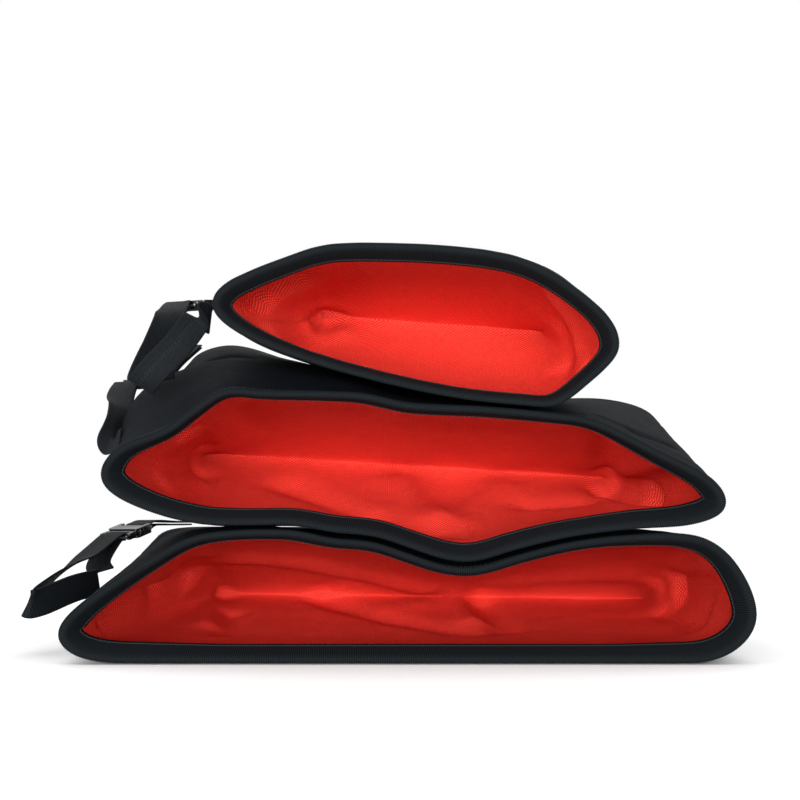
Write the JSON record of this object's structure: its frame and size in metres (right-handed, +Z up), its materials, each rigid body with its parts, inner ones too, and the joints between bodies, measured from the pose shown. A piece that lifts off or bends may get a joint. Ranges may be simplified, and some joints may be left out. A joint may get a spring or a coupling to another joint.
{
  "type": "sandbag set",
  "caption": "Open weight pouches in graduated sizes, stacked: black cloth outside, red lining, taped mouth, webbing side strap with a side-release buckle.",
  "frame": {"origin": "middle of the face that the large pouch rests on", "axes": "+Z up, +Y from the mouths to the bases, +X to the right when looking into the mouths"},
  "size_m": [0.5135, 0.3496, 0.3321],
  "materials": {
    "outer_cloth": "coated plain-weave polyester, slight sheen",
    "lining": "woven polyester lining, matte",
    "piping": "woven piping over a cord",
    "binding_tape": "ribbed grosgrain tape",
    "webbing": "ribbed polypropylene webbing",
    "buckle": "moulded acetal"
  },
  "bodies": {
    "large_pouch": {"large_top_panel": "outer_cloth", "large_bottom_panel": "outer_cloth", "large_base_panel": "outer_cloth", "large_base_piping": "piping", "large_lining_top": "lining", "large_lining_bottom": "lining", "large_lining_base": "lining", "large_mouth_binding": "binding_tape", "large_long_strap": "webbing", "large_short_strap": "webbing", "large_buckle_socket": "buckle"},
    "large_plug": {"large_buckle_plug": "buckle"},
    "large_left_prong": {"large_left_prong": "buckle"},
    "large_right_prong": {"large_right_prong": "buckle"},
    "medium_pouch": {"medium_top_panel": "outer_cloth", "medium_bottom_panel": "outer_cloth", "medium_base_panel": "outer_cloth", "medium_base_piping": "piping", "medium_lining_top": "lining", "medium_lining_bottom": "lining", "medium_lining_base": "lining", "medium_mouth_binding": "binding_tape", "medium_long_strap": "webbing", "medium_short_strap": "webbing", "medium_buckle_socket": "buckle"},
    "medium_plug": {"medium_buckle_plug": "buckle"},
    "medium_left_prong": {"medium_left_prong": "buckle"},
    "medium_right_prong": {"medium_right_prong": "buckle"},
    "small_pouch": {"small_top_panel": "outer_cloth", "small_bottom_panel": "outer_cloth", "small_base_panel": "outer_cloth", "small_base_piping": "piping", "small_lining_top": "lining", "small_lining_bottom": "lining", "small_lining_base": "lining", "small_mouth_binding": "binding_tape", "small_long_strap": "webbing", "small_short_strap": "webbing", "small_buckle_socket": "buckle"},
    "small_plug": {"small_buckle_plug": "buckle"},
    "small_left_prong": {"small_left_prong": "buckle"},
    "small_right_prong": {"small_right_prong": "buckle"}
  },
  "joints": [
    {"name": "large_buckle_release", "type": "slide", "parent": "large_pouch", "child": "large_plug", "axis": [-0.2357, -0.9454, -0.225], "range_m": [0, 0.024], "deforming": ["large_long_strap"]},
    {"name": "large_left_press", "type": "hinge", "parent": "large_plug", "child": "large_left_prong", "pos_m": [-0.22767, 0.04371, 0.08905], "axis": [-0.0544, -0.2183, 0.9744], "range_deg": [0, 8], "stiffness_Nm_per_rad": 0.02},
    {"name": "large_right_press", "type": "hinge", "parent": "large_plug", "child": "large_right_prong", "pos_m": [-0.2463, 0.04835, 0.08905], "axis": [0.0544, 0.2183, -0.9744], "range_deg": [0, 8], "stiffness_Nm_per_rad": 0.02},
    {"name": "medium_lift", "type": "slide", "parent": "large_pouch", "child": "medium_pouch", "axis": [0, 0, 1], "range_m": [0, 0.15]},
    {"name": "medium_buckle_release", "type": "slide", "parent": "medium_pouch", "child": "medium_plug", "axis": [-0.2357, -0.9454, -0.225], "range_m": [0, 0.024], "deforming": ["medium_long_strap"]},
    {"name": "medium_left_press", "type": "hinge", "parent": "medium_plug", "child": "medium_left_prong", "pos_m": [-0.20767, 0.00371, 0.20905], "axis": [-0.0544, -0.2183, 0.9744], "range_deg": [0, 8], "stiffness_Nm_per_rad": 0.02},
    {"name": "medium_right_press", "type": "hinge", "parent": "medium_plug", "child": "medium_right_prong", "pos_m": [-0.22631, 0.00835, 0.20905], "axis": [0.0544, 0.2183, -0.9744], "range_deg": [0, 8], "stiffness_Nm_per_rad": 0.02},
    {"name": "small_lift", "type": "slide", "parent": "medium_pouch", "child": "small_pouch", "axis": [0, 0, 1], "range_m": [0, 0.15]},
    {"name": "small_buckle_release", "type": "slide", "parent": "small_pouch", "child": "small_plug", "axis": [-0.2357, -0.9454, -0.225], "range_m": [0, 0.024], "deforming": ["small_long_strap"]},
    {"name": "small_left_press", "type": "hinge", "parent": "small_plug", "child": "small_left_prong", "pos_m": [-0.15868, -0.03829, 0.26405], "axis": [-0.0544, -0.2183, 0.9744], "range_deg": [0, 8], "stiffness_Nm_per_rad": 0.02},
    {"name": "small_right_press", "type": "hinge", "parent": "small_plug", "child": "small_right_prong", "pos_m": [-0.1773, -0.03365, 0.26405], "axis": [0.0544, 0.2183, -0.9744], "range_deg": [0, 8], "stiffness_Nm_per_rad": 0.02}
  ]
}
